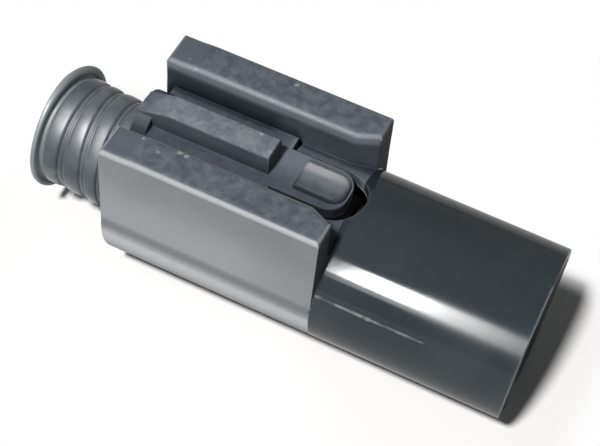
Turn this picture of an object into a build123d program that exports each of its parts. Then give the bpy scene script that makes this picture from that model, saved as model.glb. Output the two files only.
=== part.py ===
from build123d import *
import os
from math import hypot, radians, sqrt, tan

# Sealed single-pole cable connector, in millimetres. X runs along the axis and out of the hood's
# mouth, Z points up through the latch lever, and the origin is the centre of the mouth.

# Gaps between pieces that seat on or run in one another
seat_gap = 0.05
web_gap = 0.03
bead_gap = 0.1

# Hood: the round shell that goes over the mating header
hood_radius = 8.0
hood_wall = 1.25
hood_length = 18.0
cavity_depth = 23.5
mouth_chamfer = 0.4
rim_round = 0.2

# Guard walls on both sides of the latch lever
cheek_length = 20.4
guard_rise = 0.65
cheek_half_width = 7.95
cheek_draft = 1.7
cheek_edge_round = 0.6
channel_half_width = 4.15
flare_length = 2.1
flare_width = 0.95

# Coring pockets in the rear ends of the guard walls
core_inner_wall = 1.15
core_width = 1.3
core_bottom = 3.3
core_top_wall = 1.45
core_front_wall = 3.0

# Rear barrel, with the seal's bore and the chamber in front of it
barrel_radius = 5.9
seal_bore_radius = 5.2
seal_bore_depth = 6.9
chamber_radius = 4.4
cavity_end_wall = 2.0

# Roof of the hood between the guard walls, and the window for the latch's hook
shelf_length = 6.8
window_half_width = 2.75
window_reach = 1.0

# Tower that carries the contact
tower_radius = 3.8
tower_recess = 6.8
tower_chamfer = 0.35
cavity_radius = 2.35
nose_bore_radius = 2.1

# Locking tang in the tower's wall, which catches the contact's collar
tang_length = 4.4
tang_half_width = 0.9
tang_slot = 0.4
tang_inner = 2.45
tang_thickness = 0.9
tang_nose_radius = 1.85
tang_nose_flat = 0.4
tang_nose_ramp = 1.7

# Latch lever
pivot_reach = 11.0
web_radius = 0.45
web_drop = 1.0
lever_clearance = 0.8
lever_thickness = 1.3
lever_side_gap = 0.45
lever_end_inset = 0.1
neck_side_gap = 0.45
neck_start_gap = 0.2
nose_gap = 1.5
nose_corner_radius = 1.8

# Grip rib on the lever
rib_half_width = 1.25
rib_height = 2.1
rib_front_gap = 0.8
rib_ramp_length = 3.1
rib_tail_drop = 0.1
rib_edge_round = 0.25

# Head and hook at the lever's front
head_inset = 0.2
head_length = 4.5
head_half_width = 1.55
head_height = 0.7
head_corner_radius = 1.2
head_round = 0.5
hook_inset = 0.5
hook_length = 1.9
hook_flat = 0.6
hook_half_width = 1.5
hook_engagement = 0.7

# Arched tail at the lever's rear
tail_length = 1.5
tail_overlap = 0.5
tail_side_gap = 0.15
tail_rise = 1.3
arch_half_width = 2.7
arch_rise = 1.35
arch_wall = 1.35
leg_width = 1.25
foot_height = 0.8
foot_clearance = 1.1

# Wire seal: ribbed grommet with a flat flange
wire_hole_radius = 1.5
seal_groove_depth = 0.3
seal_squeeze_gap = 0.05
seal_free_rise = 0.05
seal_rib_pitch = 1.95
seal_valley_width = 0.32
seal_rib_count = 7
seal_nose_chamfer = 0.5
flange_radius = 6.0
flange_overhang = 8.95
flange_depth = 0.65
flange_lip = 0.45
funnel_radius = 2.6
funnel_depth = 1.0

# Interface seal on the tower's root
ring_length = 5.0
ring_base = 0.75
ring_rib_height = 0.45
ring_rib_count = 3
ring_valley_width = 0.55

# Front retainer, the cap on the tower's nose
retainer_wall = 0.75
retainer_front = 1.0
retainer_travel = 1.5
retainer_ring_gap = 0.3
pin_hole_radius = 1.6
pin_hole_flare = 0.5
slit_width = 0.8
slit_length = 3.0
slit_count = 4
bead_length = 1.0
bead_width = 2.0
bead_height = 0.25
bead_inset = 0.6
tongue_half_width = 0.7
tongue_length = 1.3
tongue_gap = 0.1

# Rolled socket contact
socket_recess = 0.4
socket_length = 5.4
socket_bore_radius = 1.25
socket_wall = 0.5
socket_depth = 5.2
socket_slit_width = 0.3
socket_slit_length = 3.6
collar_radius = 2.25
collar_length = 0.8
neck_length = 2.6
strip_half_width = 0.8
strip_thickness = 0.4
crimp_gap = 0.8
wire_crimp_length = 2.8
wire_crimp_radius = 1.05
wire_wing_height = 1.5
grip_gap = 1.2
grip_length = 3.0
grip_radius = 1.55
grip_outset = 0.2
grip_wing_height = 1.1

# Spring sleeve over the socket
sleeve_gap = 0.03
sleeve_wall = 0.2
sleeve_setback = 0.1
sleeve_length = 5.0
sleeve_seam = 0.3

# Stations along X
front_x = -hood_length
rear_x = front_x - cheek_length
cavity_x = -cavity_depth
shelf_x = front_x - shelf_length
window_apex_x = front_x + window_reach
window_centre_x = window_apex_x - window_half_width
shoulder_x = rear_x + seal_bore_depth
tower_x = -tower_recess
socket_x = tower_x - socket_recess
collar_x = socket_x - socket_length
collar_rear_x = collar_x - collar_length
tang_x = collar_rear_x - seat_gap
tang_root_x = tang_x - tang_length
pivot_x = front_x - pivot_reach

# Heights of the lever over the barrel, and of the guard walls over the lever
lever_bottom = barrel_radius + lever_clearance
lever_top = lever_bottom + lever_thickness
tail_top = lever_top + tail_rise
rib_top = lever_top + rib_height
cheek_top = rib_top + guard_rise

# Radii shared by pieces that fit together
hood_bore_radius = hood_radius - hood_wall
skirt_radius = tower_radius + seat_gap
skirt_outer_radius = skirt_radius + retainer_wall
tongue_radius = hypot(tang_half_width, tang_inner + tang_thickness) + seat_gap
socket_radius = socket_bore_radius + socket_wall

retainer_x = tower_x + seat_gap
retainer_front_x = retainer_x + retainer_front
ring_rear_x = cavity_x + seat_gap
ring_front_x = ring_rear_x + ring_length
skirt_rear_x = ring_front_x + retainer_ring_gap
bead_x = skirt_rear_x + bead_inset
tongue_x = tang_x - tongue_gap - tongue_length


def hollow_x(radius, start_x, end_x):
    """Cut a round hole along the axis, from start_x forward to end_x."""
    with BuildSketch(Plane.YZ.offset(start_x)) as disc:
        Circle(radius)
    extrude(disc.sketch, amount=end_x - start_x, mode=Mode.SUBTRACT)


def cylinder_x(radius, start_x, end_x):
    """Add a round bar along the axis, from start_x forward to end_x."""
    with BuildSketch(Plane.YZ.offset(start_x)) as disc:
        Circle(radius)
    extrude(disc.sketch, amount=end_x - start_x)


def block(x_range, y_range, z_range, mode=Mode.ADD):
    """Add or cut a box between two limits on each axis."""
    with BuildSketch(Plane.XY.offset(z_range[0])) as footprint:
        with Locations((sum(x_range) / 2, sum(y_range) / 2)):
            Rectangle(x_range[1] - x_range[0], y_range[1] - y_range[0])
    extrude(footprint.sketch, amount=z_range[1] - z_range[0], mode=mode)


def side_profile(points, half_width):
    """Add a piece with this outline in X and Z, as wide on both sides of the middle plane."""
    with BuildSketch(Plane.XZ) as outline:
        with BuildLine():
            Polyline(*points, close=True)
        make_face()
    extrude(outline.sketch, amount=half_width, both=True)


# Housing: one moulding
cheek_top_half_width = cheek_half_width - cheek_top * tan(radians(cheek_draft))

with BuildPart() as hood:
    # Solid hood with the window in its roof, round at the front and open at the rear
    cylinder_x(hood_radius, shelf_x, 0)
    fillet(hood.edges().filter_by(GeomType.CIRCLE).group_by(Axis.X)[-1], radius=rim_round)
    with BuildSketch(Plane.XY):
        with Locations((window_centre_x, 0)):
            Circle(window_half_width)
        with Locations(((shelf_x + window_centre_x) / 2, 0)):
            Rectangle(window_centre_x - shelf_x, 2 * window_half_width)
    extrude(amount=hood_radius, mode=Mode.SUBTRACT)

with BuildPart() as housing:
    # Round belly with the drafted guard walls above it and the lever's channel between them
    with BuildSketch(Plane.YZ.offset(rear_x)):
        Circle(hood_radius)
        with BuildLine():
            Polyline(
                (-cheek_half_width, 0),
                (-cheek_top_half_width, cheek_top),
                (cheek_top_half_width, cheek_top),
                (cheek_half_width, 0),
                close=True,
            )
        make_face()
        with Locations((0, cheek_top)):
            Rectangle(2 * channel_half_width, 2 * cheek_top, mode=Mode.SUBTRACT)
    extrude(amount=cheek_length)

    # The channel widens at its front end
    with BuildSketch(Plane.XY):
        with BuildLine():
            Polyline(
                (front_x - flare_length, -channel_half_width),
                (front_x - flare_length, channel_half_width),
                (front_x, channel_half_width + flare_width),
                (front_x, -channel_half_width - flare_width),
                close=True,
            )
        make_face()
    extrude(amount=cheek_top, mode=Mode.SUBTRACT)

    cheek_tops = housing.faces().filter_by(Axis.Z).group_by(Axis.Z)[-1]
    fillet(cheek_tops.edges(), radius=cheek_edge_round)

    # Hood, with its roof between the guard walls, and the barrel under the lever
    add(hood.part)
    cylinder_x(barrel_radius, rear_x, cavity_x)

    # Inside of the hood, with the tower in the middle
    hollow_x(hood_bore_radius, cavity_x, 0)
    cylinder_x(tower_radius, cavity_x, tower_x)
    tower_edges = housing.edges().filter_by(GeomType.CIRCLE).filter_by(
        lambda edge: abs(edge.center().X - tower_x) < seat_gap
    )
    chamfer(tower_edges, length=tower_chamfer)

    # Bores from the rear: seal, chamber and contact cavity, which narrows at the tower's nose
    hollow_x(seal_bore_radius, rear_x, shoulder_x)
    hollow_x(chamber_radius, rear_x, cavity_x - cavity_end_wall)
    hollow_x(cavity_radius, rear_x, collar_x + seat_gap)
    hollow_x(nose_bore_radius, rear_x, tower_x)

    # Coring pockets in the guard walls
    core_inner = channel_half_width + core_inner_wall
    core_sides = (
        (core_inner, core_inner + core_width),
        (-core_inner - core_width, -core_inner),
    )
    for core_side in core_sides:
        block(
            (rear_x, front_x - core_front_wall),
            core_side,
            (core_bottom, cheek_top - core_top_wall),
            mode=Mode.SUBTRACT,
        )

    # Slot around the locking tang, long enough at the front for the retainer's tongue
    block(
        (tang_root_x, tang_x + retainer_travel),
        (-tang_half_width - tang_slot, tang_half_width + tang_slot),
        (-tower_radius, -nose_bore_radius),
        mode=Mode.SUBTRACT,
    )
    block(
        (tang_root_x, tang_x),
        (-tang_half_width, tang_half_width),
        (-tang_inner - tang_thickness, -tang_inner),
    )
    side_profile(
        (
            (tang_x, -tang_inner),
            (tang_x, -tang_nose_radius),
            (tang_x - tang_nose_flat, -tang_nose_radius),
            (tang_x - tang_nose_flat - tang_nose_ramp, -tang_inner),
        ),
        tang_half_width,
    )

    # Grooves on the tower for the retainer's snap beads, longer than the beads by its travel
    with BuildSketch(Plane.YZ.offset(bead_x - bead_gap)):
        Circle(tower_radius)
        Circle(tower_radius - bead_height, mode=Mode.SUBTRACT)
        Rectangle(2 * tower_radius, bead_width + 2 * bead_gap, mode=Mode.INTERSECT)
    extrude(amount=bead_length + retainer_travel + 2 * bead_gap, mode=Mode.SUBTRACT)

    # Lead-in at the mouth
    mouth_edges = housing.edges().filter_by(GeomType.CIRCLE).group_by(Axis.X)[-1]
    chamfer(mouth_edges.sort_by(SortBy.RADIUS)[0], length=mouth_chamfer)

housing.part.label = "housing"


# Latch lever: a see-saw between the guard walls
pivot_z = lever_top - web_drop
lever_half_width = channel_half_width - lever_side_gap
neck_half_width = window_half_width - neck_side_gap
neck_x = shelf_x - neck_start_gap
nose_x = window_apex_x - nose_gap
tail_x = rear_x + lever_end_inset
arch_x = tail_x + tail_length
rib_x = shelf_x - rib_front_gap
head_x = nose_x - head_inset
hook_x = nose_x - hook_inset
hook_bottom = hood_bore_radius - hook_engagement
tail_half_width = channel_half_width - tail_side_gap
leg_inner = tail_half_width - leg_width
foot_outer_z = sqrt(barrel_radius**2 - tail_half_width**2) + foot_clearance
foot_inner_z = sqrt(barrel_radius**2 - leg_inner**2) + foot_clearance

with BuildPart() as latch_lever:
    # Arm, narrow and round-ended where it enters the window
    with BuildSketch(Plane.XY.offset(lever_bottom)) as arm:
        with Locations(((arch_x - tail_overlap + nose_x) / 2, 0)):
            Rectangle(nose_x - arch_x + tail_overlap, 2 * neck_half_width)
        fillet(arm.vertices().group_by(Axis.X)[-1], radius=nose_corner_radius)
        with Locations(((arch_x - tail_overlap + neck_x) / 2, 0)):
            Rectangle(neck_x - arch_x + tail_overlap, 2 * lever_half_width)
    extrude(amount=lever_thickness)

    # Arched tail that fills the channel's rear end
    with BuildSketch(Plane.YZ.offset(tail_x)):
        with BuildLine():
            shoulder_z = tail_top - arch_rise
            ThreePointArc(
                (-arch_half_width, shoulder_z), (0, tail_top), (arch_half_width, shoulder_z)
            )
            Polyline(
                (arch_half_width, shoulder_z),
                (tail_half_width, foot_outer_z + foot_height),
                (tail_half_width, foot_outer_z),
                (leg_inner, foot_inner_z),
            )
            ThreePointArc(
                (leg_inner, foot_inner_z), (0, tail_top - arch_wall), (-leg_inner, foot_inner_z)
            )
            Polyline(
                (-leg_inner, foot_inner_z),
                (-tail_half_width, foot_outer_z),
                (-tail_half_width, foot_outer_z + foot_height),
                (-arch_half_width, shoulder_z),
            )
        make_face()
    extrude(amount=tail_length)

    # Grip rib, sloping down to the tail
    side_profile(
        (
            (tail_x, tail_top - arch_wall / 2),
            (tail_x, tail_top - rib_tail_drop),
            (tail_x + rib_ramp_length, rib_top),
            (rib_x, rib_top),
            (rib_x, lever_bottom),
            (arch_x - tail_overlap, lever_bottom),
            (arch_x - tail_overlap, tail_top - arch_wall / 2),
        ),
        rib_half_width,
    )
    rib_tops = latch_lever.faces().filter_by(Axis.Z).group_by(Axis.Z)[-1]
    fillet(rib_tops.edges(), radius=rib_edge_round)

    # Rounded head
    with BuildSketch(Plane.XY.offset(lever_bottom)) as head:
        with Locations((head_x - head_length / 2, 0)):
            Rectangle(head_length, 2 * head_half_width)
        fillet(head.vertices().group_by(Axis.X)[-1], radius=head_corner_radius)
    extrude(amount=lever_thickness + head_height)
    head_tops = latch_lever.faces().filter_by(Axis.Z).filter_by(
        lambda face: face.center().X > rib_x and face.center().Z > lever_top + head_height / 2
    )
    fillet(head_tops.edges(), radius=head_round)

    # Hook, with its ramp to the front and its catch face to the rear
    side_profile(
        (
            (hook_x - hook_length, lever_top),
            (hook_x - hook_length, hook_bottom),
            (hook_x - hook_length + hook_flat, hook_bottom),
            (hook_x, lever_bottom),
            (hook_x, lever_top),
        ),
        hook_half_width,
    )

    # Webs that carry the lever between the guard walls
    with BuildSketch(Plane.XZ):
        with Locations((pivot_x, pivot_z)):
            Circle(web_radius)
    extrude(amount=channel_half_width - web_gap, both=True)

latch_lever.part.label = "latch_lever"


# Wire seal
flange_x = rear_x - flange_overhang
groove_x = flange_x + flange_depth
flange_front_x = flange_x + flange_lip
flange_root = groove_x - flange_front_x
seal_front_x = shoulder_x - seat_gap
seal_core_radius = seal_bore_radius - seal_groove_depth
seal_rib_half_width = (seal_rib_pitch - seal_valley_width) / 2

with BuildPart() as wire_seal:
    with BuildSketch(Plane.XY):
        with BuildLine():
            # Wire hole with its funnel, and the chamfered front end
            nose_point = (seal_front_x - seal_nose_chamfer, seal_core_radius)
            Polyline(
                (groove_x, funnel_radius),
                (groove_x + funnel_depth, wire_hole_radius),
                (seal_front_x, wire_hole_radius),
                (seal_front_x, seal_core_radius - seal_nose_chamfer),
                nose_point,
            )
            # Ribs, counted from the flange forward: full behind the housing, squeezed in its bore
            valley_end = (groove_x, seal_core_radius)
            for index in range(seal_rib_count):
                seal_rib_x = groove_x + seal_valley_width / 2 + (index + 0.5) * seal_rib_pitch
                crest = seal_bore_radius - seal_squeeze_gap
                if seal_rib_x < rear_x:
                    crest = seal_bore_radius + seal_free_rise
                rib_start = (seal_rib_x - seal_rib_half_width, seal_core_radius)
                rib_end = (seal_rib_x + seal_rib_half_width, seal_core_radius)
                Line(valley_end, rib_start)
                ThreePointArc(rib_start, (seal_rib_x, crest), rib_end)
                valley_end = rib_end
            Line(valley_end, nose_point)
            # Rounded root of the flange, its lip, and the dish in its rear
            lip_mid_radius = flange_radius - flange_lip / 2
            root_point = (flange_front_x, seal_core_radius + flange_root)
            TangentArc((groove_x, seal_core_radius), root_point, tangent=(-1, 0))
            Line(root_point, (flange_front_x, lip_mid_radius))
            ThreePointArc(
                (flange_front_x, lip_mid_radius),
                (flange_x + flange_lip / 2, flange_radius),
                (flange_x, lip_mid_radius),
            )
            Line((flange_x, lip_mid_radius), (groove_x, funnel_radius))
        make_face()
    revolve(axis=Axis.X)

wire_seal.part.label = "wire_seal"


# Interface seal
ring_outer_radius = skirt_radius + ring_base
ring_rib_pitch = ring_length / ring_rib_count

with BuildPart() as ring_seal:
    with BuildSketch(Plane.XY):
        with BuildLine():
            Polyline(
                (ring_rear_x, ring_outer_radius),
                (ring_rear_x, skirt_radius),
                (ring_front_x, skirt_radius),
                (ring_front_x, ring_outer_radius),
            )
            valley_end = (ring_rear_x, ring_outer_radius)
            for index in range(ring_rib_count):
                ring_rib_x = ring_rear_x + (index + 0.5) * ring_rib_pitch
                half_width = (ring_rib_pitch - ring_valley_width) / 2
                rib_start = (ring_rib_x - half_width, ring_outer_radius)
                rib_end = (ring_rib_x + half_width, ring_outer_radius)
                Line(valley_end, rib_start)
                ThreePointArc(rib_start, (ring_rib_x, ring_outer_radius + ring_rib_height), rib_end)
                valley_end = rib_end
            Line(valley_end, (ring_front_x, ring_outer_radius))
        make_face()
    revolve(axis=Axis.X)

ring_seal.part.label = "ring_seal"


# Front retainer
with BuildPart() as front_retainer:
    cylinder_x(skirt_outer_radius, skirt_rear_x, retainer_front_x)
    hollow_x(skirt_radius, skirt_rear_x, retainer_x)
    hollow_x(pin_hole_radius, skirt_rear_x, retainer_front_x)
    hole_edges = front_retainer.edges().filter_by(GeomType.CIRCLE).group_by(Axis.X)[-1]
    chamfer(hole_edges.sort_by(SortBy.RADIUS)[0], length=pin_hole_flare)
    front_edges = front_retainer.edges().filter_by(GeomType.CIRCLE).group_by(Axis.X)[-1]
    fillet(front_edges.sort_by(SortBy.RADIUS)[-1], radius=retainer_wall / 2)

    # Slits that let the skirt spring over the tower
    with BuildSketch(Plane.YZ.offset(skirt_rear_x)):
        with PolarLocations(skirt_radius, slit_count, start_angle=180 / slit_count):
            Rectangle(2 * retainer_wall, slit_width)
    extrude(amount=slit_length, mode=Mode.SUBTRACT)

    # Snap beads inside the skirt
    with BuildSketch(Plane.YZ.offset(bead_x)):
        Circle(skirt_radius + retainer_wall / 2)
        Circle(tower_radius - bead_height + seat_gap, mode=Mode.SUBTRACT)
        Rectangle(2 * skirt_outer_radius, bead_width, mode=Mode.INTERSECT)
    extrude(amount=bead_length)

    # Tongue that blocks the locking tang from below
    with BuildSketch(Plane.YZ.offset(tongue_x)):
        Circle(skirt_radius + retainer_wall / 2)
        Circle(tongue_radius, mode=Mode.SUBTRACT)
        with Locations((0, -skirt_radius)):
            Rectangle(2 * tongue_half_width, skirt_radius, mode=Mode.INTERSECT)
    extrude(amount=tongue_length)

front_retainer.part.label = "front_retainer"


# Contact
neck_rear_x = collar_rear_x - neck_length
wire_crimp_front_x = neck_rear_x - crimp_gap
wire_crimp_x = wire_crimp_front_x - wire_crimp_length
grip_x = wire_crimp_x - grip_gap - grip_length
wire_crimp_z = wire_crimp_radius + strip_thickness - socket_radius


def open_barrel(start_x, length, inner_radius, centre_z, wing_height):
    """Add a crimp barrel: round below, with two straight wings and an open top."""
    outer_radius = inner_radius + strip_thickness
    with BuildSketch(Plane.YZ.offset(start_x)) as section:
        with Locations((0, centre_z)):
            Circle(outer_radius)
        with Locations((0, (centre_z + wing_height) / 2)):
            Rectangle(2 * outer_radius, wing_height - centre_z)
        with Locations((0, centre_z)):
            Circle(inner_radius, mode=Mode.SUBTRACT)
        with Locations((0, centre_z + outer_radius)):
            Rectangle(2 * inner_radius, 2 * outer_radius, mode=Mode.SUBTRACT)
        with Locations((0, wing_height + outer_radius)):
            Rectangle(3 * outer_radius, 2 * outer_radius, mode=Mode.SUBTRACT)
    extrude(section.sketch, amount=length)


with BuildPart() as contact:
    # Socket, collar and neck, rolled into one tube
    cylinder_x(socket_radius, neck_rear_x, socket_x)
    cylinder_x(collar_radius, collar_rear_x, collar_x)
    hollow_x(socket_bore_radius, socket_x - socket_depth, socket_x)
    with BuildSketch(Plane.YZ.offset(socket_x - socket_slit_length)):
        Rectangle(2 * socket_radius, socket_slit_width, rotation=45)
        Rectangle(2 * socket_radius, socket_slit_width, rotation=-45)
    extrude(amount=socket_slit_length, mode=Mode.SUBTRACT)

    # Strip that carries the two crimp barrels
    block(
        (grip_x, neck_rear_x),
        (-strip_half_width, strip_half_width),
        (-socket_radius, -socket_radius + strip_thickness),
    )
    open_barrel(wire_crimp_x, wire_crimp_length, wire_crimp_radius, wire_crimp_z, wire_wing_height)
    open_barrel(grip_x, grip_length, grip_radius, 0, grip_wing_height)

contact.part.label = "contact"


# Spring sleeve
with BuildPart() as contact_sleeve:
    sleeve_radius = socket_radius + sleeve_gap
    sleeve_front_x = socket_x - sleeve_setback
    cylinder_x(sleeve_radius + sleeve_wall, sleeve_front_x - sleeve_length, sleeve_front_x)
    hollow_x(sleeve_radius, sleeve_front_x - sleeve_length, sleeve_front_x)
    block(
        (sleeve_front_x - sleeve_length, sleeve_front_x),
        (-sleeve_seam / 2, sleeve_seam / 2),
        (0, sleeve_radius + 2 * sleeve_wall),
        mode=Mode.SUBTRACT,
    )

contact_sleeve.part.label = "contact_sleeve"


os.makedirs("parts", exist_ok=True)
export_step(housing.part, "parts/housing.step")
export_step(latch_lever.part, "parts/latch_lever.step")
export_step(wire_seal.part, "parts/wire_seal.step")
export_step(ring_seal.part, "parts/ring_seal.step")
export_step(front_retainer.part, "parts/front_retainer.step")
export_step(contact.part, "parts/contact.step")
export_step(contact_sleeve.part, "parts/contact_sleeve.step")
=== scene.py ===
# %% [markdown]
# Cable connector: a sealed, single-pole plug of black plastic with a rubber wire seal.
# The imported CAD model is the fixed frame. Every piece below is placed in that frame, in metres,
# and rides on one of its bodies, so that the latch lever and the retainer still move.

# %% Load the frame
import math

import bmesh
import bpy
from mathutils import Matrix, Vector


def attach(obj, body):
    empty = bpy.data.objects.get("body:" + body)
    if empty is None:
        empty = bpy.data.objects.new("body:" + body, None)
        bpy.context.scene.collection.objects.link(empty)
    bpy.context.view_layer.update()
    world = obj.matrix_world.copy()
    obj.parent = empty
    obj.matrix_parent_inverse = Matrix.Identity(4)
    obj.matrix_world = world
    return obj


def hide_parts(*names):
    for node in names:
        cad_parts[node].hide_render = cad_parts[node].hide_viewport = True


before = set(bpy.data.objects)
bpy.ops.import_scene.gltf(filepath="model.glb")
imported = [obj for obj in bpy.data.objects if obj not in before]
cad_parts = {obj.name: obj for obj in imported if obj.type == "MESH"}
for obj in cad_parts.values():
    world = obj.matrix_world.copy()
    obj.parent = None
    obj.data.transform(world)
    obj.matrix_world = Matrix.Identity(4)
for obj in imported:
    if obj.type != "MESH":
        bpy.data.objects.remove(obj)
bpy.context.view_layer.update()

MM = 0.001

# %% [markdown]
# The camera looks down on the part from its front left. Its place is given as a turn round the
# part, a height angle and a distance, which is how a photographer would walk to it. The last
# angle tips the camera on its own axis, because the part lies aslant in the picture.

# %% Camera
LENS, SENSOR_WIDTH = 85.7, 36
NEAREST, FURTHEST = 0.005, 20
TURN, RISE, TIP = math.radians(20.63), math.radians(54.21), math.radians(6.35)
TARGET = Vector((-22.705, 0, 1.350)) * MM
DISTANCE = 126.72 * MM

back = Vector((math.sin(TURN) * math.cos(RISE), -math.cos(TURN) * math.cos(RISE), math.sin(RISE)))
right = Vector((math.cos(TURN), math.sin(TURN), 0))
up = back.cross(right)
tipped_right = math.cos(TIP) * right + math.sin(TIP) * up
tipped_up = math.cos(TIP) * up - math.sin(TIP) * right

camera = bpy.data.objects.new("camera", bpy.data.cameras.new("camera"))
bpy.context.scene.collection.objects.link(camera)
camera.data.lens = LENS
camera.data.sensor_width = SENSOR_WIDTH
camera.data.clip_start, camera.data.clip_end = NEAREST, FURTHEST
turn = Matrix((tipped_right, tipped_up, back)).transposed().to_4x4()
camera.matrix_world = Matrix.Translation(TARGET + back * DISTANCE) @ turn
bpy.context.scene.camera = camera
bpy.context.scene.view_settings.view_transform = "Standard"
print("Camera at", [round(v, 4) for v in camera.matrix_world.translation])

# %% [markdown]
# Every light and finish here is a tree of nodes. A tree is easier to read when each node takes one
# line, so these helpers add a node, link its inputs, and combine masks. A mask is a value that is
# 1 where something shows and 0 where it doesn't.

# %% Helpers for nodes
def new_material(name):
    """Return a node material with its tree emptied."""
    material = bpy.data.materials.new(name)
    material.use_nodes = True
    material.node_tree.nodes.clear()
    return material


def add_node(tree, kind, inputs=None, **settings):
    """Add a node, set its settings and its inputs, and link inputs that are sockets."""
    node = tree.nodes.new("ShaderNode" + kind)
    for key, value in settings.items():
        setattr(node, key, value)
    for key, value in (inputs or {}).items():
        if isinstance(value, bpy.types.NodeSocket):
            tree.links.new(value, node.inputs[key])
        else:
            node.inputs[key].default_value = value
    return node


def ramp(tree, value, low, high, to_low=0.0, to_high=1.0):
    """Stretch a value from low..high smoothly to to_low..to_high."""
    node = add_node(
        tree,
        "MapRange",
        {"Value": value, "From Min": low, "From Max": high, "To Min": to_low, "To Max": to_high},
        interpolation_type="SMOOTHSTEP",
    )
    return node.outputs["Result"]


def maths(tree, operation, first, second=0.0):
    """Combine two values."""
    return add_node(tree, "Math", {0: first, 1: second}, operation=operation).outputs[0]


def product(tree, *masks):
    """Return the masks multiplied, which is 1 only where all of them are."""
    result = masks[0]
    for mask in masks[1:]:
        result = maths(tree, "MULTIPLY", result, mask)
    return result


def band(tree, value, low, peak_low, peak_high, high):
    """Return 1 between the two peaks and fall smoothly to 0 at low and high."""
    return product(tree, ramp(tree, value, low, peak_low), ramp(tree, value, high, peak_high))


def diagonal(tree, first, second):
    """Return the length of the diagonal of two lengths at right angles."""
    squares = [maths(tree, "POWER", side, 2) for side in (first, second)]
    return maths(tree, "SQRT", maths(tree, "ADD", *squares))


def place_on(tree):
    """Return the X, Y and Z of the place on the piece, as three sockets."""
    node = add_node(tree, "SeparateXYZ", {"Vector": add_node(tree, "TexCoord").outputs["Object"]})
    return node.outputs["X"], node.outputs["Y"], node.outputs["Z"]


# %% [markdown]
# The stage is a plain white table, a large flat sheet just under the belly. Near the part it is a
# lit, matt white that shows the shadow. Further off than a few millimetres, the camera sees plain
# white, as in a cut-out product picture. The lit white is two Diffuse shaders added together, so
# that it comes out brighter than paint can be. Light that bounces off the table, up to the belly,
# meets a pale paint instead. The Light Path node tells those kinds of ray apart.

# %% Table
FLOOR_LEVEL = -8 * MM
FLOOR_HALF_SIDE = 3
PART_MIDDLE_X, PART_HALF_LENGTH, PART_HALF_WIDTH = -22.8 * MM, 24 * MM, 8 * MM
SHADOW_REACH, WHITE_FROM = 3 * MM, 7 * MM
PAINT, SEEN, EXTRA = (0.8, 0.8, 0.8, 1), (1, 0.975, 0.955, 1), (0.3, 0.3, 0.3, 1)

bm = bmesh.new()
bmesh.ops.create_grid(bm, x_segments=1, y_segments=1, size=FLOOR_HALF_SIDE)
bmesh.ops.translate(bm, verts=bm.verts, vec=(0, 0, FLOOR_LEVEL))
floor_mesh = bpy.data.meshes.new("floor")
bm.to_mesh(floor_mesh)
bm.free()
floor = bpy.data.objects.new("floor", floor_mesh)
bpy.context.scene.collection.objects.link(floor)

floor_material = new_material("white_table")
tree = floor_material.node_tree
paths = add_node(tree, "LightPath")
at_x, at_y, at_z = place_on(tree)
beyond = []
for along, middle, half in ((at_x, PART_MIDDLE_X, PART_HALF_LENGTH), (at_y, 0, PART_HALF_WIDTH)):
    offset = maths(tree, "ABSOLUTE", maths(tree, "SUBTRACT", along, middle))
    beyond.append(maths(tree, "MAXIMUM", maths(tree, "SUBTRACT", offset, half), 0))
is_near = ramp(tree, diagonal(tree, *beyond), SHADOW_REACH, WHITE_FROM, 1, 0)

table_paint = add_node(tree, "BsdfDiffuse", {"Color": PAINT})
table_seen = add_node(tree, "BsdfDiffuse", {"Color": SEEN})
table_extra = add_node(tree, "BsdfDiffuse", {"Color": EXTRA})
table_lit = add_node(tree, "AddShader", {0: table_seen.outputs[0], 1: table_extra.outputs[0]})
table_white = add_node(tree, "Emission", {"Color": (1, 1, 1, 1), "Strength": 1})
table_picture = add_node(
    tree, "MixShader", {"Fac": is_near, 1: table_white.outputs[0], 2: table_lit.outputs[0]}
)
table_mix = add_node(
    tree,
    "MixShader",
    {"Fac": paths.outputs["Is Camera Ray"], 1: table_paint.outputs[0], 2: table_picture.outputs[0]},
)
add_node(tree, "OutputMaterial", {"Surface": table_mix.outputs[0]})
floor_mesh.materials.append(floor_material)
print("Table at", round(FLOOR_LEVEL / MM, 2), "mm")

# %% [markdown]
# The room is white where the camera sees it. It gives matt surfaces only a faint light, so that
# the shadow by the rim stays deep. What the polished hood mirrors is a dimmer room, because a
# bright one would turn its black plastic grey.

# %% Room
ROOM_LIGHT, ROOM_MIRRORED = 0.05, 0.33
world = bpy.data.worlds.new("room")
bpy.context.scene.world = world
world.use_nodes = True
tree = world.node_tree
tree.nodes.clear()
paths = add_node(tree, "LightPath")
room_strength = add_node(
    tree,
    "MapRange",
    {"Value": paths.outputs["Is Glossy Ray"], "To Min": ROOM_LIGHT, "To Max": ROOM_MIRRORED},
)
room_light = add_node(
    tree, "Background", {"Color": (0.95, 0.98, 1, 1), "Strength": room_strength.outputs["Result"]}
)
room_seen = add_node(tree, "Background", {"Color": (1, 1, 1, 1), "Strength": 1})
room_mix = add_node(
    tree,
    "MixShader",
    {"Fac": paths.outputs["Is Camera Ray"], 1: room_light.outputs[0], 2: room_seen.outputs[0]},
)
add_node(tree, "OutputWorld", {"Surface": room_mix.outputs[0]})
print("Room lights matt surfaces at", ROOM_LIGHT, "and is mirrored at", ROOM_MIRRORED)

# %% [markdown]
# One lamp hangs above, for the small shadow by the rim. One window stands at the side and draws
# the long highlight on the round hood. A second, dimmer pane lets that highlight fade towards the
# rim, and its sill lights the belly. The lamps are set so that a colour renders about as it is
# written. A broad lamp beside the one above gives the rubber seal its soft gleam, and nothing
# else: light linking picks the pieces that a lamp reaches.

# %% Lamps
LAMP_DISTANCE = 0.42
OVERHEAD = (-0.13, -0.52, 1.0)
SIDE = (-0.81, 0.57)


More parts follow.
